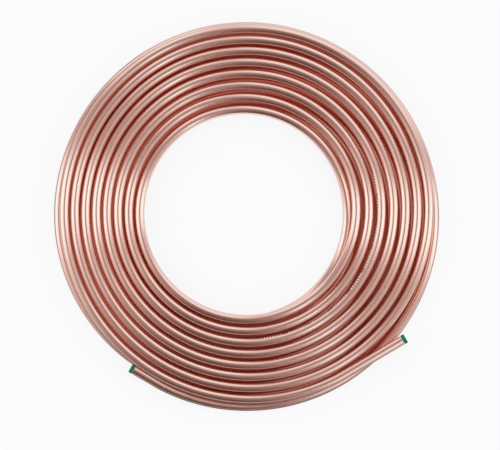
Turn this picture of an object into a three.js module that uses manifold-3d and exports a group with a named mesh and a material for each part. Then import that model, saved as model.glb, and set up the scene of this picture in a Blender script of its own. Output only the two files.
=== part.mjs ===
// A flat coil of soft copper tube, wound in two layers, with a push-in plug in each open end.
//
// Millimetres, +Z up, origin under the middle of the coil. Angles run clockwise from +Y as seen
// from above. The upper layer winds inwards clockwise, drops through one crossover turn at the
// bore, and the lower layer winds outwards clockwise, so both ends of the tube are outside.
//
// Each layer is a turned body with its bore: a row of ridges on a thin web, fed along by one
// pitch in every revolution, so that the ridges are the turns of one spiral on each face.
// Where the tube leaves a layer it is swept along its own path and joined on.

import * as THREE from 'three'
import { mergeVertices } from 'three/addons/utils/BufferGeometryUtils.js'
import Module from 'manifold-3d'

const wasm = await Module()
wasm.setup()

// The tube
const tubeDiameter = 9.525
const tubeWall = 0.813

// The winding
const boreRadius = 101
const layerTurns = 7
const upperOuterGap = 1.65
const upperInnerGap = 2.665
const lowerTurnGap = 1.505
const crossoverStep = 6
const seamAngle = 150
const upperCentre = new THREE.Vector2(2.55, 5.31)
const upperDrift = new THREE.Vector2(-0.284, 0.29)
const upperSwing = new THREE.Vector2(-0.053, -0.046)
const lowerCentre = new THREE.Vector2(-2.55, 0)
const lowerDrift = new THREE.Vector2(0.365, 0)

// The crossover turn, where the tube drops from the upper layer to the lower one
const crossoverBow = 3.3
const bowStart = -30
const dropStart = 40
const dropEnd = 130

// The outermost lower turn, which lies a little wide and ends in a free end
const outerTurnGap = 1.36
const outerCentre = new THREE.Vector2(-0.5, 0)
const outerOval = 1
const outerOvalAngle = 353
const stepOutStart = 186
const stepOutEnd = 276
const lowerEndAngle = 207
const lowerEndLift = 7.6
const liftStart = 172
const liftEnd = 222

// The two free ends and their bores
const upperEndLength = 74.7
const lowerEndLength = 32.1
const upperEndToe = 2.6
const lowerEndToe = 2.9
const endBoreDepth = 24

// The plugs
const plugClearance = 0.3
const plugHeadOverhang = 0.2
const plugHeadThickness = 3.5
const plugHeadRound = 0.6
const plugStemLength = 12
const plugStemTaper = 0.6
const plugTipLength = 3

// Facets
const columnsPerTurn = 36
const outerStepsPerTurn = 72
const ridgeSides = 9
const sweepSides = 10
const plugFacets = 20
const joinDepth = 1

const copper = { color: 0xc98872, metalness: 1, roughness: 0.28 }
const greenPlastic = { color: 0x12784b, metalness: 0, roughness: 0.45 }

// Values that follow from the ones above
const fullTurn = 360
const tubeRadius = tubeDiameter / 2
const tubeBoreRadius = tubeRadius - tubeWall
const lowerHeight = tubeRadius
const upperHeight = tubeRadius + tubeDiameter
const lowerStart = boreRadius + tubeRadius
const lowerFeed = tubeDiameter + lowerTurnGap
const upperFeed = tubeDiameter + upperOuterGap
const upperFeedGrowth = (upperInnerGap - upperOuterGap) / layerTurns
const upperSpan = layerTurns * upperFeed + upperFeedGrowth * layerTurns ** 2 / 2
const upperStart = lowerStart + crossoverStep + upperSpan
const outerTurnRadius = lowerStart + layerTurns * lowerFeed + tubeDiameter + outerTurnGap
const outerTurn = layerTurns * fullTurn
const finalTurn = outerTurn + fullTurn
const layerEnd = outerTurn + seamAngle
const lowerEndBearing = finalTurn + lowerEndAngle

const up = new THREE.Vector3(0, 0, 1)
const down = new THREE.Vector3(0, 0, -1)

const sin = (degrees) => Math.sin(THREE.MathUtils.degToRad(degrees))
const cos = (degrees) => Math.cos(THREE.MathUtils.degToRad(degrees))
const ease = (value, low, high) => THREE.MathUtils.smoothstep(value, low, high)
const mix = THREE.MathUtils.lerp

const turnsAt = (angle) => (angle - seamAngle) / fullTurn

/** How much further out a turn on an offset centre is, at an angle. */
const offset = (centre, angle) => centre.x * sin(angle) + centre.y * cos(angle)

/** Distance of the upper layer's tube from the coil's axis, on a centre that wanders. */
function upperRadius(angle) {
  const turns = turnsAt(angle)
  const centre = upperCentre.clone().addScaledVector(upperDrift, turns)
  centre.addScaledVector(upperSwing, turns ** 2)
  const inwards = upperFeed * turns + upperFeedGrowth * turns ** 2 / 2
  return upperStart - inwards + offset(centre, angle)
}

/** Distance of the lower layer's tube from the coil's axis, on a centre that drifts. */
function lowerRadius(angle) {
  const turns = turnsAt(angle)
  const centre = lowerCentre.clone().addScaledVector(lowerDrift, turns)
  return lowerStart + lowerFeed * turns + offset(centre, angle)
}

/** A point at a clockwise angle from +Y. */
const polar = (angle, radius, z) => new THREE.Vector3(radius * sin(angle), radius * cos(angle), z)

/** A closed geometry as a solid that can be joined and cut. */
function solid(geometry) {
  geometry.deleteAttribute('normal')
  geometry.deleteAttribute('uv')
  const merged = mergeVertices(geometry)
  const vertProperties = merged.attributes.position.array
  const triVerts = Uint32Array.from(merged.index.array)
  return new wasm.Manifold(new wasm.Mesh({ numProp: 3, vertProperties, triVerts }))
}

/** A solid as a flat-shaded geometry. */
function geometryOf(manifold) {
  const mesh = manifold.getMesh()
  const geometry = new THREE.BufferGeometry()
  geometry.setAttribute('position', new THREE.BufferAttribute(mesh.vertProperties, 3))
  geometry.setIndex(new THREE.BufferAttribute(mesh.triVerts, 1))
  geometry.computeVertexNormals()
  return geometry
}

/**
 * One layer: a lathe profile of ridges on a web, whose every ridge is fed along its own turn.
 * `towards` is +1 where the turns grow outwards, `side` is +1 where the ridges face up.
 */
function layer(radiusAt, towards, height, side) {
  const step = fullTurn / ridgeSides
  const circumradius = tubeRadius / cos(step / 2)
  const corners = []
  for (let turn = 0; turn < layerTurns; turn += 1) {
    for (let j = ridgeSides - 1; j > 0; j -= 1) corners.push({ turn, angle: j * step - 90 })
  }
  for (let turn = layerTurns - 1; turn >= 0; turn -= 1) corners.push({ turn, angle: -90 })

  const profile = corners.map(() => new THREE.Vector2(1, 0))
  profile.push(profile[0])
  const lathe = new THREE.LatheGeometry(profile, columnsPerTurn)
  const position = lathe.attributes.position
  const place = (column, index) => {
    const { turn, angle } = corners[index % corners.length]
    const bearing = seamAngle + column * fullTurn / columnsPerTurn
    const radius = radiusAt(bearing + turn * fullTurn) + towards * circumradius * cos(angle)
    const point = polar(bearing, radius, height + side * circumradius * sin(angle))
    position.setXYZ(column * profile.length + index, point.x, point.y, point.z)
  }
  for (let column = 0; column <= columnsPerTurn; column += 1) {
    for (let index = 0; index < profile.length; index += 1) place(column, index)
  }
  lathe.setIndex([...wallFaces(profile.length), ...endFaces(corners.length, profile.length)])
  return solid(lathe)
}

/** The faces between neighbouring columns of a layer. */
function wallFaces(rows) {
  const faces = []
  for (let column = 0; column < columnsPerTurn; column += 1) {
    for (let row = 0; row < rows - 1; row += 1) {
      const a = column * rows + row
      const b = a + 1
      faces.push(a, b, b + rows, a, b + rows, a + rows)
    }
  }
  return faces
}

/** The two flat faces where a layer's first turn starts and its last turn stops. */
function endFaces(count, rows) {
  const perRidge = ridgeSides - 1
  const ridge = [...Array(perRidge + 1).keys()]
  const lastRoot = columnsPerTurn * rows + layerTurns * perRidge
  const first = fan(count - 1, [...ridge, count - 2], true)
  const last = fan(lastRoot, [lastRoot + 1, ...ridge.map((i) => lastRoot - perRidge - 1 + i)], false)
  return [...first, ...last]
}

/** Triangles from one corner of a polygon to all its other corners. */
function fan(apex, rim, reversed) {
  const faces = []
  for (let i = 0; i < rim.length - 1; i += 1) {
    faces.push(apex, rim[reversed ? i + 1 : i], rim[reversed ? i : i + 1])
  }
  return faces
}

/** A round bar along a curve, with flats on its top and bottom. */
function bar(curve, steps, radius) {
  const section = new THREE.Shape()
  const halfStep = fullTurn / sweepSides / 2
  for (let side = 0; side < sweepSides; side += 1) {
    const angle = halfStep * (2 * side + 1)
    const corner = new THREE.Vector2(cos(angle), sin(angle)).multiplyScalar(radius / cos(halfStep))
    if (side === 0) section.moveTo(corner.x, corner.y)
    else section.lineTo(corner.x, corner.y)
  }
  return solid(new THREE.ExtrudeGeometry(section, { extrudePath: curve, steps, bevelEnabled: false }))
}

/** A smooth curve whose swept section stays upright instead of rolling along the curve. */
class UprightCurve extends THREE.CatmullRomCurve3 {
  computeFrenetFrames(segments) {
    const frames = { tangents: [], normals: [], binormals: [] }
    for (let i = 0; i <= segments; i += 1) {
      const tangent = this.getTangentAt(i / segments)
      const sideways = new THREE.Vector3().crossVectors(tangent, down).normalize()
      frames.tangents.push(tangent)
      frames.normals.push(new THREE.Vector3().crossVectors(sideways, tangent))
      frames.binormals.push(sideways)
    }
    return frames
  }
}

/** A smooth curve through points of a winding, which may run on through a straight tail. */
function windingCurve(from, to, pointAt, stepsPerTurn, tail = []) {
  const count = Math.round((to - from) * stepsPerTurn / fullTurn)
  const points = Array.from({ length: count + 1 }, (_, i) => pointAt(mix(from, to, i / count)))
  return new UprightCurve([...points, ...tail], false, 'centripetal')
}

/** The direction in which a winding runs at an angle, turned to the left by some degrees. */
function headingAt(pointAt, angle, left) {
  const heading = pointAt(angle + 0.5).sub(pointAt(angle - 0.5)).normalize()
  return heading.applyAxisAngle(up, THREE.MathUtils.degToRad(left))
}

const upperPoint = (angle) => polar(angle, upperRadius(angle), upperHeight)

/** The turn at the bore, which leaves the upper layer and meets the lower layer's first turn. */
function crossoverPoint(angle) {
  const local = angle - finalTurn
  const share = THREE.MathUtils.clamp((local - bowStart) / (seamAngle - bowStart), 0, 1)
  const bow = crossoverBow * sin(180 * share) ** 2
  const radius = mix(upperRadius(angle), lowerRadius(local), ease(share, 0, 1)) + bow
  return polar(angle, radius, mix(upperHeight, lowerHeight, ease(local, dropStart, dropEnd)))
}

/** The outermost lower turn, which steps out to its own radius and lifts at its free end. */
function outerTurnPoint(angle) {
  const stepOut = ease(angle, outerTurn + stepOutStart, outerTurn + stepOutEnd)
  const oval = outerOval * cos(2 * (angle - outerOvalAngle))
  const outside = outerTurnRadius + oval + offset(outerCentre, angle)
  const radius = mix(lowerRadius(angle), outside, stepOut)
  const lift = lowerEndLift * ease(angle, finalTurn + liftStart, finalTurn + liftEnd)
  return polar(angle, radius, lowerHeight + lift)
}

/** A straight free end: where it starts, which way it points and where its open end is. */
function freeEnd(start, heading, length) {
  return { start, heading, length, tip: start.clone().addScaledVector(heading, length) }
}

const joinAngle = THREE.MathUtils.radToDeg(joinDepth / lowerStart)
const upperHeading = headingAt(upperPoint, seamAngle, upperEndToe).negate()
const upperEnd = freeEnd(upperPoint(seamAngle), upperHeading, upperEndLength)
const lowerHeading = headingAt(outerTurnPoint, lowerEndBearing, -lowerEndToe)
const lowerEnd = freeEnd(outerTurnPoint(lowerEndBearing), lowerHeading, lowerEndLength)

/** The whole tube: two turned layers, the crossover, the outermost turn and the free ends. */
function tubeSolid() {
  const upper = layer(upperRadius, -1, upperHeight, 1)
  const lower = layer(lowerRadius, 1, lowerHeight, -1)
  const crossoverFrom = layerEnd - joinAngle
  const crossoverTo = finalTurn + seamAngle + joinAngle
  const crossover = windingCurve(crossoverFrom, crossoverTo, crossoverPoint, columnsPerTurn)
  const outer = outerCurve(layerEnd - joinAngle)
  const root = upperEnd.start.clone().addScaledVector(upperEnd.heading, -joinDepth)
  const straight = new THREE.LineCurve3(root, upperEnd.tip)
  return wasm.Manifold.union([
    upper,
    lower,
    bar(crossover, columnsPerTurn, tubeRadius),
    bar(outer, outer.points.length - 1, tubeRadius),
    bar(straight, 1, tubeRadius),
  ]).subtract(endBore(upperEnd)).subtract(endBore(lowerEnd))
}

/** The outermost turn and the straight end that it runs out into. */
function outerCurve(from) {
  const tail = [lowerEnd.start.clone().lerp(lowerEnd.tip, 0.5), lowerEnd.tip]
  return windingCurve(from, lowerEndBearing, outerTurnPoint, outerStepsPerTurn, tail)
}

/** The hollow of a free end, open at its tip. */
function endBore(end) {
  const bottom = end.tip.clone().addScaledVector(end.heading, -endBoreDepth)
  const outside = end.tip.clone().addScaledVector(end.heading, joinDepth)
  return bar(new THREE.LineCurve3(bottom, outside), 1, tubeBoreRadius)
}

/** A plug turned about +Z: a tapered stem below, and a round-edged head above z = 0. */
function plugGeometry() {
  const stem = tubeBoreRadius - plugClearance
  const head = tubeRadius + plugHeadOverhang
  const underside = plugClearance
  const top = plugClearance + plugHeadThickness
  const profile = new THREE.Path()
  profile.moveTo(0, -plugStemLength)
  profile.lineTo(stem - plugStemTaper, -plugStemLength)
  profile.lineTo(stem, plugTipLength - plugStemLength)
  profile.lineTo(stem, underside)
  profile.lineTo(head, underside)
  profile.lineTo(head, top - plugHeadRound)
  profile.quadraticCurveTo(head, top, head - plugHeadRound, top)
  profile.lineTo(0, top)
  return new THREE.LatheGeometry(profile.getPoints(2), plugFacets).rotateX(Math.PI / 2)
}

/** A plug pushed into a free end. */
function plug(name, end) {
  const mesh = new THREE.Mesh(plugGeometry(), new THREE.MeshStandardMaterial(greenPlastic))
  mesh.name = name
  mesh.position.copy(end.tip)
  mesh.quaternion.setFromUnitVectors(up, end.heading)
  return mesh
}

const tube = new THREE.Mesh(geometryOf(tubeSolid()), new THREE.MeshStandardMaterial(copper))
tube.name = 'tube'

const coil = new THREE.Group()
coil.add(tube, plug('upper_end_plug', upperEnd), plug('lower_end_plug', lowerEnd))

const box = new THREE.Box3().setFromObject(coil, true)
const middle = box.getCenter(new THREE.Vector3())
coil.position.set(-middle.x, -middle.y, -box.min.z)
coil.updateMatrixWorld(true)

export default coil
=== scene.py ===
# %% [markdown]
# # A flat coil of soft copper tube
#
# Soft copper tube is sold in flat coils. This one is a single length of tube, wound inwards in
# an upper layer, dropped through one turn at the bore, and wound outwards again in a lower
# layer, so that both ends are outside. Each end is closed by a green push-in plug.
#
# The solids that carry the sizes are loaded first and never change. Everything below is the
# finish that is laid over them, in metres and in the same place.

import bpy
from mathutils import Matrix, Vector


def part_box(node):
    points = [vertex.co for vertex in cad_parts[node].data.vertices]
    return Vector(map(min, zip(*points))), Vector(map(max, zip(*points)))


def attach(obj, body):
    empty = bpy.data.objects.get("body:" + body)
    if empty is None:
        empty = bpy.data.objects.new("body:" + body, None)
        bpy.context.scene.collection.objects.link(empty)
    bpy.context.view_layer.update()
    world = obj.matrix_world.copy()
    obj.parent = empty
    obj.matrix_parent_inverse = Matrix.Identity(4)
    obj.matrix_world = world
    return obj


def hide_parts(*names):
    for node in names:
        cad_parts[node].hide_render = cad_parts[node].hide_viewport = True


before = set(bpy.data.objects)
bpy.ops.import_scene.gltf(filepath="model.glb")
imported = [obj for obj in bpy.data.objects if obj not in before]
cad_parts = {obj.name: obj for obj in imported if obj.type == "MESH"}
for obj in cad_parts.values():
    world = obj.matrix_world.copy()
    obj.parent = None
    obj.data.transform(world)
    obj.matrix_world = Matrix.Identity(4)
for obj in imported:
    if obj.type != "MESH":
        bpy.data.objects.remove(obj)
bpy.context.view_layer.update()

# %% What the rest of the script works with
import math

import bmesh
import bpy
from mathutils import Matrix, Vector

MM = 0.001
DEGREE = math.pi / 180
FULL_TURN = 360

# %% [markdown]
# ## Sums written on sockets
#
# A coil is a rule: so far along the tube, so far round, so far out. Geometry Nodes can hold a
# rule, but a sum of forty Math nodes is hard to read. So one small class wraps the output of a
# node, and adding or multiplying two of them adds the Math node. The same class writes the
# finishes, because both kinds of tree share these nodes.


# %% A socket that can be added and multiplied
class Socket:
    """The output of a node, on which sums and products add Math nodes."""

    def __init__(self, tree, output):
        self.tree = tree
        self.output = output

    def __add__(self, other):
        return self.tree.math("ADD", self, other)

    def __sub__(self, other):
        return self.tree.math("SUBTRACT", self, other)

    def __mul__(self, other):
        return self.tree.math("MULTIPLY", self, other)

    def __truediv__(self, other):
        return self.tree.math("DIVIDE", self, other)

    def __gt__(self, other):
        return self.tree.math("GREATER_THAN", self, other)

    def __lt__(self, other):
        return self.tree.math("LESS_THAN", self, other)

    def __radd__(self, other):
        return self.tree.math("ADD", other, self)

    def __rsub__(self, other):
        return self.tree.math("SUBTRACT", other, self)

    def __rmul__(self, other):
        return self.tree.math("MULTIPLY", other, self)

    def also(self, name):
        """Another output of the same node."""
        return Socket(self.tree, self.output.node.outputs[name])


# %% A tree that nodes are added to
class Tree:
    """A node tree, with short ways to add nodes to it."""

    def __init__(self, nodes):
        self.tree = nodes

    def add(self, kind, settings=None, sockets=None, output=0):
        """A node of a kind: first its settings, then the values or links of its sockets."""
        node = self.tree.nodes.new(kind)
        for name, value in (settings or {}).items():
            setattr(node, name, value)
        for key, value in (sockets or {}).items():
            self.feed(self.find(node.inputs, key), value)
        if node.outputs:
            return Socket(self, self.find(node.outputs, output))

    def find(self, sockets, key):
        """A socket by its number, or by its name among those that the settings left in use."""
        if isinstance(key, int):
            return sockets[key]
        return next(s for s in sockets if s.name == key and s.enabled)

    def feed(self, target, value):
        """Links a socket, or writes a plain value on it."""
        if isinstance(value, Socket):
            self.tree.links.new(value.output, target)
        else:
            target.default_value = value

    def math(self, operation, *values):
        """One Math node. The values go to its sockets in order."""
        return self.add("ShaderNodeMath", {"operation": operation}, dict(enumerate(values)))

    def vector(self, x, y, z):
        return self.add("ShaderNodeCombineXYZ", None, {"X": x, "Y": y, "Z": z})

    def vector_math(self, operation, *values, output=0):
        kind = "ShaderNodeVectorMath"
        return self.add(kind, {"operation": operation}, dict(enumerate(values)), output)


# %% [markdown]
# The functions below take either plain numbers or sockets. So a formula is written once, and
# gives a number where the script wants to know a place, and nodes where the tree needs it.


# %% Functions of numbers or sockets
def sine(angle):
    if isinstance(angle, Socket):
        return angle.tree.math("SINE", angle * DEGREE)
    return math.sin(angle * DEGREE)


def cosine(angle):
    if isinstance(angle, Socket):
        return angle.tree.math("COSINE", angle * DEGREE)
    return math.cos(angle * DEGREE)


def ramp(value, low, high, smooth=True):
    """0 below low, 1 above high, and a smooth or a straight rise in between."""
    if isinstance(value, Socket):
        settings = {"interpolation_type": "SMOOTHSTEP" if smooth else "LINEAR"}
        sockets = {"Value": value, "From Min": low, "From Max": high}
        return value.tree.add("ShaderNodeMapRange", settings, sockets)
    share = min(max((value - low) / (high - low), 0), 1)
    return share * share * (3 - 2 * share) if smooth else share


def window(value, low, high, edge):
    """1 between low and high and 0 outside, with soft edges."""
    return ramp(value, low - edge, low + edge) * (1 - ramp(value, high - edge, high + edge))


def mix(first, second, share):
    return first + (second - first) * share


print("a ramp at a quarter:", ramp(0.25, 0, 1), "a window's middle:", window(0.5, 0, 1, 0.1))


# %% [markdown]
# ## The winding
#
# Each turn is nearly a circle, fed in or out by one pitch in every revolution, and its centre
# wanders a little from turn to turn, as it does on a coil that was wound by machine and handled
# since. Angles are in degrees, clockwise from +Y as seen from above, and run on from turn to
# turn over the whole tube: the upper layer first, then the drop at the bore, then the lower.

# %% Sizes of the winding, in metres
LAYER_TURNS = 7
SIZES = {
    "Tube Diameter": 9.525 * MM,
    "Wall": 0.813 * MM,
    "Bore Radius": 101 * MM,
    "Layer Turns": float(LAYER_TURNS),
    "Upper Outer Gap": 1.65 * MM,
    "Upper Inner Gap": 2.665 * MM,
    "Lower Gap": 1.505 * MM,
    "Crossover Step": 6 * MM,
    "Crossover Bow": 3.3 * MM,
    "Outer Turn Gap": 1.36 * MM,
    "Outer Turn X": -0.5 * MM,
    "Outer Turn Oval": 1 * MM,
    "Upper X": 2.55 * MM,
    "Upper Y": 5.31 * MM,
    "Upper X Drift": -0.284 * MM,
    "Upper Y Drift": 0.29 * MM,
    "Upper X Swing": -0.053 * MM,
    "Upper Y Swing": -0.046 * MM,
    "Lower X": -2.55 * MM,
    "Lower X Drift": 0.365 * MM,
    "End Lift": 7.6 * MM,
}
COIL_SHIFT = Vector((0.4779, -0.0757, 0.0003)) * MM
print("tube:", SIZES["Tube Diameter"] / MM, "mm, turns in a layer:", LAYER_TURNS)

# %% Where things happen along the winding, in degrees
SEAM = 150
OUTER_TURN = LAYER_TURNS * FULL_TURN
LOWER_ZERO = OUTER_TURN + FULL_TURN
# The lower layer has its own count of degrees, which is 0 at LOWER_ZERO.
STEP_STARTS = -30
DROP = (40, 130)
OUTER_STEP = (OUTER_TURN + 186, OUTER_TURN + 276)
OVAL_ANGLE = 353
END_RISE = (LOWER_ZERO + 172, LOWER_ZERO + 222)
LOWER_LAST = LOWER_ZERO + 207
LAST_ANGLE = LOWER_ZERO + LOWER_LAST
print("the tube leaves at", SEAM, "and at", LAST_ANGLE, "degrees")


# %% The rule of the winding
def winding(angle, size):
    """The centre line's distance from the coil's axis and its height, at an angle."""
    tube = size["Tube Diameter"]
    span = size["Layer Turns"]
    lower_start = size["Bore Radius"] + tube * 0.5
    lower_feed = tube + size["Lower Gap"]
    upper_feed = tube + size["Upper Outer Gap"]
    growth = (size["Upper Inner Gap"] - size["Upper Outer Gap"]) / span * 0.5
    upper_start = lower_start + size["Crossover Step"] + span * (upper_feed + growth * span)

    turns = (angle - SEAM) * (1 / FULL_TURN)
    x = size["Upper X"] + (size["Upper X Drift"] + size["Upper X Swing"] * turns) * turns
    y = size["Upper Y"] + (size["Upper Y Drift"] + size["Upper Y Swing"] * turns) * turns
    upper = upper_start - (upper_feed + growth * turns) * turns
    upper = upper + x * sine(angle) + y * cosine(angle)

    own_angle = angle - LOWER_ZERO
    turns = (own_angle - SEAM) * (1 / FULL_TURN)
    x = size["Lower X"] + size["Lower X Drift"] * turns
    lower = lower_start + lower_feed * turns + x * sine(angle)

    share = ramp(own_angle, STEP_STARTS, SEAM, smooth=False)
    bow = sine(share * 180)
    radius = mix(upper, lower, ramp(share, 0, 1)) + size["Crossover Bow"] * bow * bow

    outer = lower_start + lower_feed * span + tube + size["Outer Turn Gap"]
    outer = outer + size["Outer Turn X"] * sine(angle)
    outer = outer + size["Outer Turn Oval"] * cosine((angle - OVAL_ANGLE) * 2)
    radius = mix(radius, outer, ramp(own_angle, *OUTER_STEP))

    height = tube * 1.5 - tube * ramp(own_angle, *DROP)
    height = height + size["End Lift"] * ramp(own_angle, *END_RISE)
    return radius, height


def centre_line(angle):
    """A point of the centre line, as numbers."""
    radius, height = winding(angle, SIZES)
    return Vector((radius * sine(angle), radius * cosine(angle), height)) + COIL_SHIFT


for angle in (SEAM, OUTER_TURN, LOWER_ZERO, LAST_ANGLE):
    radius, height = winding(angle, SIZES)
    print(f"at {angle} degrees: {radius / MM:.1f} mm out, {height / MM:.1f} mm up")


# %% [markdown]
# The two free ends run straight on from the winding, each bent a few degrees away from it. A
# plug's foot sits on each tip, so the tips are worked out as plain numbers and set against the
# plugs' solids.

# %% The free ends
UPPER_END = {"length": 74.7 * MM, "toe": 2.6}
LOWER_END = {"length": 32.1 * MM, "toe": -2.9}
NEARBY = 0.5


def free_end(angle, outwards, length, toe):
    """Where a free end's tip is, and which way it points. The toe is a bend, in degrees."""
    heading = (centre_line(angle + NEARBY) - centre_line(angle - NEARBY)).normalized()
    heading = Matrix.Rotation(toe * DEGREE, 3, "Z") @ heading * outwards
    return centre_line(angle) + heading * length, heading


upper_tip, upper_heading = free_end(SEAM, -1, **UPPER_END)
lower_tip, lower_heading = free_end(LAST_ANGLE, 1, **LOWER_END)
for name, tip in (("upper_end_plug", upper_tip), ("lower_end_plug", lower_tip)):
    low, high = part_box(name)
    gap = max(max(low[i] - tip[i], tip[i] - high[i], 0) for i in range(3))
    print(name, "tip", [round(x / MM, 2) for x in tip], "mm, outside its solid by", round(gap / MM, 3))


# %% [markdown]
# ## The tube as one sheet rolled round a line
#
# A tube along a path could be a bevelled curve or Curve to Mesh. Both leave the two ends open,
# with no wall to see. Here a flat grid of faces is rolled round the line instead: its rows run
# from the middle of one plugged bore, out over the cut edge, along the whole tube and into the
# other bore. One closed skin comes out, with its own lengthwise and roundwise coordinates.

# %% The named inputs of the tube's tree
FLOAT, INTEGER, VECTOR = "NodeSocketFloat", "NodeSocketInt", "NodeSocketVector"
tube_inputs = {name: (FLOAT, value) for name, value in SIZES.items()}
tube_inputs["Upper Tip"] = (VECTOR, upper_tip)
tube_inputs["Lower Tip"] = (VECTOR, lower_tip)
tube_inputs["Shift"] = (VECTOR, COIL_SHIFT)
tube_inputs["Line Points"] = (INTEGER, 4200)
tube_inputs["Rows"] = (INTEGER, 2600)
tube_inputs["Sides"] = (INTEGER, 28)
tube_inputs["Open Bore Depth"] = (FLOAT, 24 * MM)
tube_inputs["Cut Edge"] = (FLOAT, 0.15 * MM)
print(len(tube_inputs), "named inputs")


# %% A Geometry Nodes tree, and the object that it makes
def new_tree(name, inputs):
    """A Geometry Nodes tree with named inputs, and its inputs as sockets."""
    tree = bpy.data.node_groups.new(name, "GeometryNodeTree")
    tree.interface.new_socket("Geometry", in_out="OUTPUT", socket_type="NodeSocketGeometry")
    for label, (kind, _) in inputs.items():
        tree.interface.new_socket(label, in_out="INPUT", socket_type=kind)
    wrapped = Tree(tree)
    source = wrapped.add("NodeGroupInput")
    return wrapped, {label: source.also(label) for label in inputs}


def grow(name, tree, inputs):
    """The mesh that a tree makes, as a plain object of that name."""
    holder = bpy.data.objects.new(name, bpy.data.meshes.new(name))
    bpy.context.scene.collection.objects.link(holder)
    modifier = holder.modifiers.new("Rule", "NODES")
    modifier.node_group = tree.tree
    labels = {item.name: item.identifier for item in tree.tree.interface.items_tree}
    for label, (_, value) in inputs.items():
        modifier[labels[label]] = value
    graph = bpy.context.evaluated_depsgraph_get()
    mesh = bpy.data.meshes.new_from_object(holder.evaluated_get(graph), depsgraph=graph)
    holder.modifiers.clear()
    holder.data = mesh
    mesh.name = name
    return holder


# %% The line that the tube follows
def tube_line(tree, size):
    """A curve through the winding, with one straight piece on to each tip.

    The first and the last point are the tips, and the others are evenly spread over the angles.
    """
    count = size["Line Points"]
    last = count - 1
    index = tree.add("GeometryNodeInputIndex")
    angle = SEAM + ramp(index, 1, last - 1, smooth=False) * (LAST_ANGLE - SEAM)
    radius, height = winding(angle, size)
    point = tree.vector(radius * sine(angle), radius * cosine(angle), height)
    point = tree.vector_math("ADD", point, size["Shift"])
    for row, tip in ((index < 0.5, "Upper Tip"), (index > last - 0.5, "Lower Tip")):
        sockets = {"Switch": row, "False": point, "True": size[tip]}
        point = tree.add("GeometryNodeSwitch", {"input_type": "VECTOR"}, sockets)
    line = tree.add("GeometryNodeMeshLine", {"mode": "OFFSET"}, {"Count": count})
    line = tree.add("GeometryNodeSetPosition", None, {"Geometry": line, "Position": point})
    curve = tree.add("GeometryNodeMeshToCurve", None, {"Mesh": line})
    return tree.add("GeometryNodeSetCurveNormal", {"mode": "Z_UP"}, {"Curve": curve})


# %% [markdown]
# Counted from either end of the sheet, row 0 is the middle of the bore's floor, row 1 the
# floor's rim, row 2 the bore's mouth, row 3 the outside of the cut face, and row 4 the start of
# the outside, past a narrow bevel. Row 4 and all rows up to the other end's row 4 are spread
# evenly along the tube. A comparison such as "row greater than 2.5" is 0 or 1, so it switches a
# term of the sum off or on.

# %% The sheet that is rolled round the line
EDGE_ROWS = 4
MERGE_DISTANCE = 1e-6


def rolled_sheet(tree, size, line):
    """A grid whose rows follow the line and whose columns go once round it."""
    columns = size["Sides"] + 1
    rows = size["Rows"]
    index = tree.add("GeometryNodeInputIndex")
    row = tree.math("FLOOR", (index + 0.5) * tree.math("DIVIDE", 1, columns))
    around = (index - row * columns) * tree.math("DIVIDE", 1, size["Sides"])
    last = rows - 1
    from_end = tree.math("MINIMUM", row, last - row)

    length = tree.add("GeometryNodeCurveLength", None, {"Curve": line})
    edge = size["Cut Edge"]
    bore = size["Tube Diameter"] * 0.5 - size["Wall"]
    radius = bore * (from_end > 0.5) + (size["Wall"] - edge) * (from_end > 2.5)
    radius = radius + edge * (from_end > 3.5)
    share = ramp(row, EDGE_ROWS, last - EDGE_ROWS, smooth=False)
    inwards = size["Open Bore Depth"] * (from_end < 1.5) - edge * (from_end < 3.5)
    side = 1 - 2 * (row > last * 0.5)
    along = edge + share * (length - 2 * edge) + side * inwards

    sockets = {"Curves": line, "Length": along}
    sample = tree.add("GeometryNodeSampleCurve", {"mode": "LENGTH"}, sockets, "Position")
    inward = sample.also("Normal")
    upward = tree.vector_math("CROSS_PRODUCT", inward, sample.also("Tangent"))
    turn = around * FULL_TURN
    inward = scaled(inward, radius * cosine(turn))
    upward = scaled(upward, radius * sine(turn))
    place = tree.vector_math("ADD", sample, tree.vector_math("ADD", inward, upward))

    sheet = tree.add("GeometryNodeMeshGrid", None, {"Vertices X": rows, "Vertices Y": columns})
    sheet = store_map(tree, sheet, along, around)
    sheet = tree.add("GeometryNodeSetPosition", None, {"Geometry": sheet, "Position": place})
    sockets = {"Geometry": sheet, "Distance": MERGE_DISTANCE}
    return tree.add("GeometryNodeMergeByDistance", None, sockets)


def scaled(vector, factor):
    """A vector times a number."""
    settings = {"operation": "SCALE"}
    return vector.tree.add("ShaderNodeVectorMath", settings, {"Vector": vector, "Scale": factor})


def store_map(tree, geometry, along, around):
    """Keeps the metres along the tube and the share round it as the piece's UV map."""
    place = tree.vector(along, around, 0)
    settings = {"domain": "POINT", "data_type": "FLOAT_VECTOR"}
    place = tree.add("GeometryNodeFieldOnDomain", settings, {"Value": place})
    settings = {"domain": "CORNER", "data_type": "FLOAT2"}
    sockets = {"Geometry": geometry, "Name": "UVMap", "Value": place}
    return tree.add("GeometryNodeStoreNamedAttribute", settings, sockets)


# %% Smooth along the tube, crisp at its cut ends
SHARP_FROM = 30 * DEGREE


def shaded(tree, mesh):
    """Smooth faces, with the edges that turn sharply left crisp."""
    sockets = {"Geometry": mesh, "Shade Smooth": True}
    mesh = tree.add("GeometryNodeSetShadeSmooth", {"domain": "FACE"}, sockets)
    angle = tree.add("GeometryNodeInputMeshEdgeAngle")
    sockets = {"Geometry": mesh, "Selection": angle > SHARP_FROM, "Shade Smooth": False}
    return tree.add("GeometryNodeSetShadeSmooth", {"domain": "EDGE"}, sockets)


def finished(tree, mesh, material):
    """The end of every tree here: plain faces with their material."""
    mesh = tree.add("GeometryNodeRealizeInstances", None, {"Geometry": mesh})
    mesh = tree.add("GeometryNodeSetMaterial", None, {"Geometry": mesh, "Material": material})
    tree.add("NodeGroupOutput", None, {"Geometry": mesh})


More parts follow.
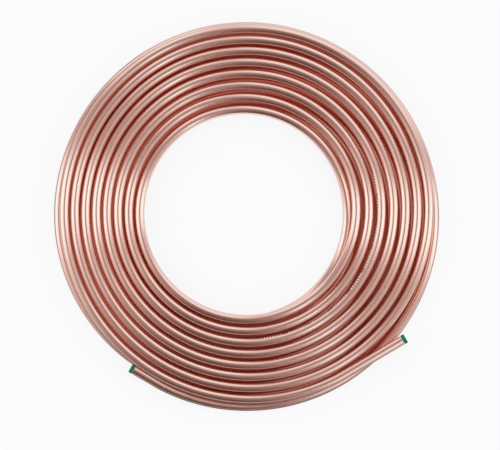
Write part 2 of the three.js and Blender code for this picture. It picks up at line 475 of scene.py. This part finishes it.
# %% [markdown]
# ## Copper
#
# Bright drawn copper is a salmon-pink metal. Nearly all of its colour is in its reflection, so
# the metal is fully metallic and its look comes from how rough it is. Drawing leaves very fine
# lines along the tube, handling leaves faint dull patches, and air slowly turns it browner.
# The lines follow the tube, so they read the sheet's own coordinates, bent round in a ring so
# that the pattern closes on itself.


# %% Start a material
def new_material(name):
    """A material with an empty node tree."""
    material = bpy.data.materials.new(name)
    material.use_nodes = True
    tree = material.node_tree
    tree.nodes.clear()
    return material, Tree(tree)


def principled(tree, **sockets):
    """A Principled surface as the material's output. Underscores stand for spaces."""
    named = {name.replace("_", " "): value for name, value in sockets.items()}
    surface = tree.add("ShaderNodeBsdfPrincipled", None, named)
    tree.add("ShaderNodeOutputMaterial", None, {"Surface": surface})


def noise(tree, vector, scale, detail):
    sockets = {"Vector": vector, "Scale": scale, "Detail": detail}
    return tree.add("ShaderNodeTexNoise", {"noise_dimensions": "3D"}, sockets)


def mixed_colour(tree, share, first, second):
    """The first colour where the share is 0, and the second where it is 1."""
    sockets = {"Factor": share, "A": first, "B": second}
    return tree.add("ShaderNodeMix", {"data_type": "RGBA"}, sockets, "Result")


# %% [markdown]
# Such tube has a line of small raised marks along one stretch. Here they are plain ticks in short
# groups. They are too small to be worth faces of their own, so they are a bump and a paler, less
# metallic colour, which paints the small glints that raised marks catch. All are cut out of the
# sheet's coordinates by four masks: the stretch, the band round the tube, each tick and each group.

# %% Ticks
TICK_PITCH = 3 * MM
TICK_GROUP = 27 * MM
TICK_ANGLES = (1872, 1972)
TICK_BAND = (20 / FULL_TURN, 58 / FULL_TURN)
STRETCH_EDGE = 0.5 * MM
BAND_EDGE = 0.004
# Each tick and each group is the part of a wave above the second number.
TICK_WAVE = (-0.1, 0.3)
GROUP_WAVE = (-0.75, -0.7)


def length_along(angle):
    """Metres of tube between the upper free end's tip and an angle of the winding."""
    steps = round(angle - SEAM)
    places = [centre_line(SEAM + i) for i in range(steps + 1)]
    return UPPER_END["length"] + sum((b - a).length for a, b in zip(places, places[1:]))


def tick_marks(along, around):
    """1 on the ticks and 0 off them."""
    stretch = window(along, *(length_along(angle) for angle in TICK_ANGLES), STRETCH_EDGE)
    band = window(around, *TICK_BAND, BAND_EDGE)
    tick = ramp(sine(along * (FULL_TURN / TICK_PITCH)), *TICK_WAVE)
    group = ramp(sine(along * (FULL_TURN / TICK_GROUP)), *GROUP_WAVE)
    return stretch * band * tick * group


print("ticks:", [round(length_along(angle), 3) for angle in TICK_ANGLES], "m along the tube")

# %% [markdown]
# The turns of the lower layer show only through narrow gaps, in light that has bounced off copper
# several times and turned redder. As polished as the rest, they would mirror pale slivers of the room.
# So the buried stretch has a duller finish and a painted redder tint, which stands in for that bounced
# light, and both fade in and out over a hand's width.

# %% Colours and roughness of the copper
BRIGHT_COPPER = (0.965, 0.675, 0.592, 1)
DULL_COPPER = (0.9, 0.61, 0.52, 1)
# Painted glint: the paler colour of the ticks.
PALE_TICK_GLINT = (0.98, 0.88, 0.84, 1)
# Painted light: a redder tint for the buried turns, which stands in for light bounced between the
# copper turns.
BURIED_PAINTED_RED = (1.0, 0.44, 0.345, 1)
BURIED_ANGLES = (LOWER_ZERO + 510, LOWER_ZERO + 2670)
BURIED_EDGE = 0.1
BURIED_SHARE = 0.45
# How fine each noise is, round the tube and along it.
DRAWN_LINES = (30, 6)
BROAD_LINES = (7, 3)
DULL_PATCHES = (0.8, 9)
# Where in its noise a dull patch or a broad line begins, and where it is full.
DULL_RANGE = (0.45, 0.72)
BROAD_RANGE = (0.4, 0.62)
DULL_SHARE = 0.4
BROAD_SHARE = 0.35
# What each of them adds to the roughness of bare copper, and to the height of the bump.
BARE_ROUGHNESS = 0.14
ROUGHER = {"dull": 0.06, "broad": 0.06, "drawn": 0.08, "ticks": 0.3, "buried": 0.16}
HEIGHTS = {"drawn": 0.02, "broad": 0.5, "ticks": 1.2}
COPPER_BUMP = {"Strength": 0.35, "Distance": 0.2 * MM}
TICK_GLINT_NONMETAL = 0.6

buried_ends = [length_along(angle) for angle in BURIED_ANGLES]
print("buried:", [round(end, 2) for end in buried_ends], "m along the tube")


# %% The copper
def ring_noise(tree, ring, along, grain):
    """Noise on the tube's surface, which closes on itself round the tube."""
    across, lengthwise = grain
    place = tree.vector(ring[0] * across, ring[1] * across, along * lengthwise)
    return noise(tree, place, 1, 3)


def copper_material():
    material, tree = new_material("drawn_copper")
    place = tree.add("ShaderNodeUVMap", {"uv_map": "UVMap"})
    along = tree.add("ShaderNodeSeparateXYZ", None, {"Vector": place}, "X")
    around = along.also("Y")
    turn = around * FULL_TURN
    ring = (cosine(turn), sine(turn))

    drawn = ring_noise(tree, ring, along, DRAWN_LINES)
    broad = ring_noise(tree, ring, along, BROAD_LINES)
    patches = ring_noise(tree, ring, along, DULL_PATCHES)
    dull = ramp(patches, *DULL_RANGE)
    streak = ramp(broad, *BROAD_RANGE)
    ticks = tick_marks(along, around)
    buried = window(along, *buried_ends, BURIED_EDGE)

    share = dull * DULL_SHARE + streak * BROAD_SHARE
    colour = mixed_colour(tree, share, BRIGHT_COPPER, DULL_COPPER)
    # Partly painted highlight: the ticks' paler colour stands in for the glints of raised marks.
    colour = mixed_colour(tree, ticks, colour, PALE_TICK_GLINT)
    # Painted light: the buried turns' redder tint stands in for light bounced between the turns.
    colour = mixed_colour(tree, buried * BURIED_SHARE, colour, BURIED_PAINTED_RED)
    rough = BARE_ROUGHNESS + dull * ROUGHER["dull"] + streak * ROUGHER["broad"]
    rough = rough + (drawn - 0.5) * ROUGHER["drawn"]
    rough = rough + ticks * ROUGHER["ticks"] + buried * ROUGHER["buried"]
    height = drawn * HEIGHTS["drawn"] + broad * HEIGHTS["broad"] + ticks * HEIGHTS["ticks"]
    bump = tree.add("ShaderNodeBump", None, COPPER_BUMP | {"Height": height})
    # Partly painted highlight: the ticks are less metallic, so they show paler.
    metal = 1 - ticks * TICK_GLINT_NONMETAL
    principled(tree, Base_Color=colour, Metallic=metal, Roughness=rough, Normal=bump)
    return material


copper = copper_material()
print("copper:", len(copper.node_tree.nodes), "nodes")

# %% [markdown]
# With its copper made, the tree can be closed and the tube rolled. Once the result is an
# ordinary mesh the modifier goes, so that what rides on the body is plain faces.

# %% Roll the tube
tube_tree, tube_size = new_tree("Rolled tube", tube_inputs)
line = tube_line(tube_tree, tube_size)
sheet = shaded(tube_tree, rolled_sheet(tube_tree, tube_size, line))
finished(tube_tree, sheet, copper)
tube = grow("copper_tube", tube_tree, tube_inputs)
print("tube:", len(tube.data.vertices), "points,", len(tube.data.polygons), "faces")

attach(tube, "root")
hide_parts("tube")


# %% [markdown]
# ## The plugs
#
# A push-in plug keeps dirt and damp out of the tube. It is a turned shape: a flat head a little
# wider than the tube, with a soft rim and a shallow dish, and a stem with two sealing rings and
# a tapered tip. A short outline spun round an axis makes it. The spin is done ring by ring
# here, so that the poles close on one point each and the faces already point outwards. Heights
# are counted from the tube's cut end, where the plug's foot sits.

# %% Sizes of a plug
HEAD_RADIUS = SIZES["Tube Diameter"] / 2 + 0.16 * MM
STEM_RADIUS = SIZES["Tube Diameter"] / 2 - SIZES["Wall"] - 0.3 * MM
HEAD_BOTTOM = 0.3 * MM
HEAD_TOP = HEAD_BOTTOM + 3.5 * MM
STEM_LENGTH = 12 * MM
RIM = 0.6 * MM
FOOT = 0.25 * MM
RING = 0.22 * MM
RING_HEIGHTS = (-7.6 * MM, -3.6 * MM)
RING_REACH = 0.6 * MM
GROOVE_RADIUS = STEM_RADIUS - 0.25 * MM
GROOVE_START = -8.8 * MM
# The stem's tip, as distances in from its side and up from its end.
TIP_TAPER = [(1.1 * MM, 0), (0.6 * MM, 0.5 * MM)]
# The dish in the head with a small knob in its middle, as radius and depth.
DISH = [(3.2, 0), (2.9, 0.12), (2.4, 0.35), (0.7, 0.45), (0.6, 0.25), (0, 0.2)]
print("plug:", round(HEAD_RADIUS * 2 / MM, 2), "mm across, stem", round(STEM_RADIUS * 2 / MM, 2))


# %% Outline of a plug, from the tip of its stem to the middle of its head
def rounded(centre_r, centre_z, radius, start, end, steps):
    """Points on an arc, in degrees from straight out."""
    angles = [start + (end - start) * i / steps for i in range(steps + 1)]
    return [(centre_r + radius * cosine(a), centre_z + radius * sine(a)) for a in angles]


def plug_outline():
    """Radius and height of each point."""
    outline = [(0, -STEM_LENGTH)]
    outline += [(STEM_RADIUS - inset, rise - STEM_LENGTH) for inset, rise in TIP_TAPER]
    outline.append((GROOVE_RADIUS, GROOVE_START))
    for z in RING_HEIGHTS:
        outline.append((GROOVE_RADIUS, z - RING_REACH))
        outline += rounded(STEM_RADIUS - RING, z, RING, -90, 90, 4)
        outline.append((GROOVE_RADIUS, z + RING_REACH))
    outline += [(GROOVE_RADIUS, HEAD_BOTTOM), (HEAD_RADIUS - FOOT, HEAD_BOTTOM)]
    outline += rounded(HEAD_RADIUS - FOOT, HEAD_BOTTOM + FOOT, FOOT, -60, 0, 3)
    outline += rounded(HEAD_RADIUS - RIM, HEAD_TOP - RIM, RIM, 0, 90, 6)
    outline += [(radius * MM, HEAD_TOP - depth * MM) for radius, depth in DISH]
    return outline


print("outline:", len(plug_outline()), "points")


# %% Spin an outline
def spin(outline, sides):
    """A closed turned mesh about +Z. The outline starts and ends on the axis."""
    shape = bmesh.new()
    rings = []
    for radius, z in outline:
        if radius == 0:
            rings.append([shape.verts.new((0, 0, z))])
            continue
        angles = [FULL_TURN * i / sides for i in range(sides)]
        rings.append([shape.verts.new((radius * cosine(a), radius * sine(a), z)) for a in angles])
    for lower, upper in zip(rings, rings[1:]):
        for i in range(sides):
            j = (i + 1) % sides
            corners = [lower[i % len(lower)], lower[j % len(lower)]]
            corners += [upper[j % len(upper)], upper[i % len(upper)]]
            shape.faces.new(list(dict.fromkeys(corners)))
    return shape


# %% Put a plug on a tip
PLUG_SIDES = 48
PLUG_SHARP_FROM = 40 * DEGREE


def place_plug(name, tip, heading, material):
    """A plug with its head's foot at a tip, pointing along a heading."""
    shape = spin(plug_outline(), PLUG_SIDES)
    turn = heading.to_track_quat("Z", "Y").to_matrix().to_4x4()
    bmesh.ops.transform(shape, matrix=Matrix.Translation(tip) @ turn, verts=shape.verts)
    for face in shape.faces:
        face.smooth = True
    mesh = bpy.data.meshes.new(name)
    shape.to_mesh(mesh)
    shape.free()
    mesh.set_sharp_from_angle(angle=PLUG_SHARP_FROM)
    mesh.materials.append(material)
    plug = bpy.data.objects.new(name, mesh)
    bpy.context.scene.collection.objects.link(plug)
    return plug


# %% [markdown]
# Such plugs are moulded in polyethylene: an even green that is a little waxy, with a fine grain
# from the mould and faint clouds in the colour. Both are noise in the object's own space, at
# the scale of half a millimetre and of a few millimetres.

# %% The green plastic
DEEP_GREEN = (0.002, 0.17, 0.07, 1)
FRESH_GREEN = (0.004, 0.2, 0.085, 1)
GRAIN_SCALE = 2500
CLOUD_SCALE = 220
CLOUD_RANGE = (0.3, 0.7)
PLASTIC_ROUGHNESS = 0.42
GRAIN_ROUGHNESS = 0.2
GRAIN_BUMP = {"Strength": 0.3, "Distance": 0.05 * MM}
WAXY_SHINE = 0.2


def plastic_material():
    material, tree = new_material("green_polyethylene")
    place = tree.add("ShaderNodeTexCoord", None, None, "Object")
    grain = noise(tree, place, GRAIN_SCALE, 3)
    clouds = noise(tree, place, CLOUD_SCALE, 2)
    colour = mixed_colour(tree, ramp(clouds, *CLOUD_RANGE), DEEP_GREEN, FRESH_GREEN)
    bump = tree.add("ShaderNodeBump", None, GRAIN_BUMP | {"Height": grain})
    rough = PLASTIC_ROUGHNESS + (grain - 0.5) * GRAIN_ROUGHNESS
    shine = WAXY_SHINE
    principled(tree, Base_Color=colour, Roughness=rough, Normal=bump, Specular_IOR_Level=shine)
    return material


plastic = plastic_material()
print("plastic:", len(plastic.node_tree.nodes), "nodes")

# %% [markdown]
# The plugs are hidden from mirror rays. The copper next to each would otherwise show a bright
# green speck, which a real coil in soft light doesn't.

# %% The two plugs
PLUGS = (
    ("upper_end_plug", upper_tip, upper_heading),
    ("lower_end_plug", lower_tip, lower_heading),
)
for name, tip, heading in PLUGS:
    plug = place_plug("green_" + name, tip, heading, plastic)
    plug.visible_glossy = False
    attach(plug, "root")
    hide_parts(name)
    print(plug.name, len(plug.data.polygons), "faces")

# %% [markdown]
# ## The studio
#
# The coil lies on a plain white floor. Polished metal shows the room and not the lamps' light,
# so the room matters more than the lamps: a bright sheet to the left, one to the right, a
# softer one behind, a dark front and a dim ceiling give each turn its thin bright lines.

# %% Floor
FLOOR_SIZE = 12
floor_mesh = bpy.data.meshes.new("floor")
half = FLOOR_SIZE / 2
corners = [(-half, -half, 0), (half, -half, 0), (half, half, 0), (-half, half, 0)]
floor_mesh.from_pydata(corners, [], [(0, 1, 2, 3)])
floor = bpy.data.objects.new("floor", floor_mesh)
bpy.context.scene.collection.objects.link(floor)
print("floor:", FLOOR_SIZE, "m square")

# %% [markdown]
# White paper under a coil looks white nearly up to the coil, so the floor glows for the rays that show
# it, and its own shadows stay faint. Two places get painted light and shade on top of that. Under the
# coil only light that has bounced down between the turns arrives, so the floor there glows a painted
# dim copper-red, dimmest to the front. And the outer turns mirror the floor beside them, which the
# coil and the room shade, so for mirror rays alone the floor carries a painted shade there: darkest in
# front, hardly any behind.

# %% What the floor shows
# The ring that the coil covers. All these places are distances from its middle, or along +Y,
# which is behind it, or to the left.
COVERED_CENTRE = (1.5 * MM, 1 * MM, 0)
COVERED_RING = (110 * MM, 190.5 * MM)
COVERED_EDGE = 1.5 * MM
# Painted light: the floor under the coil glows dim copper-red, standing in for light bounced down
# between the turns, and dimmer to the front.
PAINTED_BOUNCE_GLOW = (0.37, 0.092, 0.067, 1)
PAINTED_FRONT_BOUNCE_GLOW = (0.125, 0.026, 0.018, 1)
GLOW_RISES = (-130 * MM, 110 * MM)
LEFT_ENDS = (75 * MM, 140 * MM)
# Painted shade: the glow is dimmer in the gap inside the outermost turn.
OUTER_GAP = (174 * MM, 186 * MM)
OUTER_GAP_FADE = 0.6
# The painted shade in the mirror rays, which stands for the shade of the coil and the room on the
# floor beside it. It reaches further out in front and behind than at the sides.
WHITE_GLOW = (0.99, 0.99, 1, 1)
SHADED_GLOW = (0.42, 0.35, 0.33, 1)
SHADE_STARTS = (80 * MM, 104 * MM)
SHADE_ENDS = (214 * MM, 262 * MM)
FRONT_SHADE = (0.08, 0.052, 0.048, 1)
FRONT_ENDS = (-205 * MM, -150 * MM)
FRONT_REACH = 80 * MM
BACK_SHADE = (0.7, 0.76, 0.79, 1)
BACK_SIDE = (0.5, 1, 0)
BACK_ENDS = (100 * MM, 170 * MM)
BACK_REACH = 200 * MM
# The rest of the floor is lit paper.
PAPER = (0.93, 0.93, 0.94, 1)
GLOWING_SHARE = 0.85


def shown_background(tree):
    """1 for the rays that show the background: to the camera, in gloss and through glass."""
    rays = tree.add("ShaderNodeLightPath", None, None, "Is Camera Ray")
    mirrored = tree.math("MAXIMUM", rays.also("Is Glossy Ray"), rays.also("Is Transmission Ray"))
    return tree.math("MAXIMUM", rays, mirrored), mirrored


def painted_glow_between_turns(tree, radius, across, depth):
    """The painted dim red glow under the coil, which stands for light bounced down between the turns.
    It is painted dimmer in the gap inside the outermost turn.
    """
    share = tree.math("MAXIMUM", ramp(depth, *GLOW_RISES), ramp(0 - across, *LEFT_ENDS))
    share = share * (1 - OUTER_GAP_FADE * ramp(radius, *OUTER_GAP))
    return mixed_colour(tree, share, PAINTED_FRONT_BOUNCE_GLOW, PAINTED_BOUNCE_GLOW)


def paper_glow(tree, radius, depth, place, mirrored):
    """White, and for mirror rays a painted shade round the coil."""
    front = 1 - ramp(depth, *FRONT_ENDS)
    back = tree.vector_math("DOT_PRODUCT", place, BACK_SIDE, output="Value")
    back = ramp(back, *BACK_ENDS)
    reach = front * FRONT_REACH + back * BACK_REACH
    shaded = ramp(radius, *SHADE_STARTS) * (1 - ramp(radius - reach, *SHADE_ENDS))
    shade = mixed_colour(tree, front, SHADED_GLOW, FRONT_SHADE)
    shade = mixed_colour(tree, back, shade, BACK_SHADE)
    return mixed_colour(tree, shaded * mirrored, WHITE_GLOW, shade)


# %% The floor's material
def floor_material():
    material, tree = new_material("white_floor")
    place = tree.add("ShaderNodeTexCoord", None, None, "Object")
    across = tree.add("ShaderNodeSeparateXYZ", None, {"Vector": place}, "X")
    depth = across.also("Y")
    radius = tree.vector_math("DISTANCE", place, COVERED_CENTRE, output="Value")
    covered = window(radius, *COVERED_RING, COVERED_EDGE)
    shown, mirrored = shown_background(tree)
    # Painted shade: the white floor is darkened round the coil for mirror rays only.
    white = paper_glow(tree, radius, depth, place, mirrored)
    # Painted light: the dim red glow under the coil.
    below = painted_glow_between_turns(tree, radius, across, depth)
    colour = mixed_colour(tree, covered, white, below)
    lit = tree.add("ShaderNodeBsdfDiffuse", None, {"Color": PAPER})
    glow = tree.add("ShaderNodeEmission", None, {"Color": colour})
    share = shown * mix(GLOWING_SHARE, 1, covered)
    surface = tree.add("ShaderNodeMixShader", None, {0: share, 1: lit, 2: glow})
    tree.add("ShaderNodeOutputMaterial", None, {"Surface": surface})
    return material


floor_mesh.materials.append(floor_material())
print("floor material:", len(floor_mesh.materials[0].node_tree.nodes), "nodes")

# %% [markdown]
# The room is a dome that only mirror-like surfaces see. Its material is a sum of soft-edged
# sheets, each with its place and its brightness, over a dim ceiling. Real sheets on stands
# would do the same, but seven numbers a sheet are quicker to move about. A dark round spot
# straight overhead, where a camera would hang, draws the thin dark line along each crest.

# %% The sheets of the room
TENT_RADIUS = 5
CEILING_GLOW = 0.465
ZENITH_GLOW = 0.28
ZENITH_EDGE = (78, 84)
# Each sheet: azimuth clockwise from behind, half width, edge; lowest and highest elevation,
# edge; brightness. Angles are in degrees.
SHEETS = {
    "left": (-87, 15.5, 8, -20, 71, 35, 1.31),
    "right": (94, 14, 8, -20, 92, 32, 1.25),
    "behind": (31, 36, 14, -20, 60, 8, 1.0),
    "behind_left": (-28.5, 18, 6, -20, 41, 10, 1.02),
    "right_front": (131, 19, 6, -20, 74, 8, 0.59),
    "front_strip": (150.5, 6, 3, 30, 83, 16, 1.3),
    "front": (195, 26, 16, -20, 86, 4, 0.14),
    "left_front": (249, 8.5, 5, -20, 65, 16, 0.75),
}
# The dimmer a part of the room is, the warmer: green and blue as shares of the brightness,
# each a plain number and what is added for each unit of brightness. Red stops at its limit.
GREEN_SHARE = (0.62, 0.37)
BLUE_SHARE = (0.58, 0.42)
RED_LIMIT = 1.15
print("room:", len(SHEETS), "sheets")


# %% The room's material
def room_glow(tree, azimuth, elevation):
    """The brightness of the room in a direction."""
    glow = CEILING_GLOW
    for middle, half_width, side_edge, lowest, highest, top_edge, brightness in SHEETS.values():
        offset = tree.math("WRAP", azimuth - middle, 180, -180)
        inside = window(offset, -half_width, half_width, side_edge)
        inside = inside * window(elevation, lowest, highest, top_edge)
        glow = glow + inside * (brightness - CEILING_GLOW)
    return mix(glow, ZENITH_GLOW, ramp(elevation, *ZENITH_EDGE))


def tent_material():
    material, tree = new_material("studio_tent")
    place = tree.add("ShaderNodeTexCoord", None, None, "Object")
    across = tree.add("ShaderNodeSeparateXYZ", None, {"Vector": place}, "X")
    azimuth = tree.math("ARCTAN2", across, across.also("Y")) * (1 / DEGREE)
    elevation = tree.math("ARCSINE", across.also("Z") * (1 / TENT_RADIUS)) * (1 / DEGREE)
    glow = room_glow(tree, azimuth, elevation)
    red = tree.math("MINIMUM", glow, RED_LIMIT)
    green = GREEN_SHARE[0] + glow * GREEN_SHARE[1]
    blue = BLUE_SHARE[0] + glow * BLUE_SHARE[1]
    colour = tree.vector(red, glow * green, glow * blue)
    surface = tree.add("ShaderNodeEmission", None, {"Color": colour})
    tree.add("ShaderNodeOutputMaterial", None, {"Surface": surface})
    return material


# %% The dome
AROUND, UPWARDS = 96, 48
BELOW_FLOOR = -0.01


def studio_tent():
    """A dome that only mirror-like surfaces see."""
    mesh = bpy.data.meshes.new("studio_tent")
    shape = bmesh.new()
    bmesh.ops.create_uvsphere(shape, u_segments=AROUND, v_segments=UPWARDS, radius=TENT_RADIUS)
    below = [v for v in shape.verts if v.co.z < BELOW_FLOOR]
    bmesh.ops.delete(shape, geom=below, context="VERTS")
    bmesh.ops.reverse_faces(shape, faces=shape.faces)
    shape.to_mesh(mesh)
    shape.free()
    material = tent_material()
    material.cycles.emission_sampling = "NONE"
    mesh.materials.append(material)
    tent = bpy.data.objects.new("studio_tent", mesh)
    bpy.context.scene.collection.objects.link(tent)
    tent.visible_camera = False
    tent.visible_diffuse = False
    tent.visible_shadow = False
    return tent


print("dome:", len(studio_tent().data.polygons), "faces")

# %% [markdown]
# The lamps and the world light what isn't metal: the plugs, the floor and the ticks. The
# lamps are hidden from mirror rays, because the dome already stands for what metal sees.

# %% World
WORLD_STRENGTH = 0.78


def world_light():
    world = bpy.data.worlds.new("studio")
    bpy.context.scene.world = world
    world.use_nodes = True
    world.node_tree.nodes.clear()
    tree = Tree(world.node_tree)
    level = mix(WORLD_STRENGTH, 1.0, shown_background(tree)[0])
    sockets = {"Color": (1, 1, 1, 1), "Strength": level}
    background = tree.add("ShaderNodeBackground", None, sockets)
    tree.add("ShaderNodeOutputWorld", None, {"Surface": background})


world_light()
print("world:", WORLD_STRENGTH)

# %% Lamps
LAMP_ELEVATION = 38
LAMP_DISTANCE = 3
LAMP_SIZE = 2
LAMP_AZIMUTHS = {"left_lamp": -90, "right_lamp": 88.5}


def soft_lamp(name, azimuth):
    """A square lamp that faces the coil and would just look white in a mirror."""
    light = bpy.data.lights.new(name, "AREA")
    light.size = LAMP_SIZE
    light.energy = math.pi * LAMP_SIZE * LAMP_SIZE
    lamp = bpy.data.objects.new(name, light)
    flat = LAMP_DISTANCE * cosine(LAMP_ELEVATION)
    height = LAMP_DISTANCE * sine(LAMP_ELEVATION)
    lamp.location = (flat * sine(azimuth), flat * cosine(azimuth), height)
    lamp.rotation_euler = (-lamp.location).to_track_quat("-Z", "Y").to_euler()
    lamp.visible_camera = False
    lamp.visible_glossy = False
    bpy.context.scene.collection.objects.link(lamp)


for name, azimuth in LAMP_AZIMUTHS.items():
    soft_lamp(name, azimuth)

# %% [markdown]
# ## The camera
#
# It looks straight down from far away through a long lens, so that near and far turns keep
# the same width.

# %% Camera
CAMERA_HEIGHT = 6
CREST_HEIGHT = 14 * MM
SENSOR_WIDTH = 36
MM_PER_PIXEL = 1.025
VIEW_WIDTH = 500 * MM_PER_PIXEL * MM
# How far the winding's centre is left of and above the middle of the view, in pixels.
CENTRE_LEFT, CENTRE_UP = 3, 8.52
camera_data = bpy.data.cameras.new("camera")
camera_data.sensor_width = SENSOR_WIDTH
camera_data.lens = SENSOR_WIDTH * (CAMERA_HEIGHT - CREST_HEIGHT) / VIEW_WIDTH
camera = bpy.data.objects.new("camera", camera_data)
right = CENTRE_LEFT * MM_PER_PIXEL * MM
down = CENTRE_UP * MM_PER_PIXEL * MM
camera.location = (right + COIL_SHIFT.x, COIL_SHIFT.y - down, CAMERA_HEIGHT)
bpy.context.scene.collection.objects.link(camera)
bpy.context.scene.camera = camera
bpy.context.scene.view_settings.view_transform = "Standard"
print("camera at", list(camera.location), "lens", round(camera_data.lens, 1), "mm")

# %% [markdown]
# Light finds its way between the turns by being mirrored many times, so the mirror rays get
# more bounces than usual.

# %% Bounces
GLOSSY_BOUNCES = 12
bpy.context.scene.cycles.glossy_bounces = GLOSSY_BOUNCES
print("mirror bounces:", GLOSSY_BOUNCES)
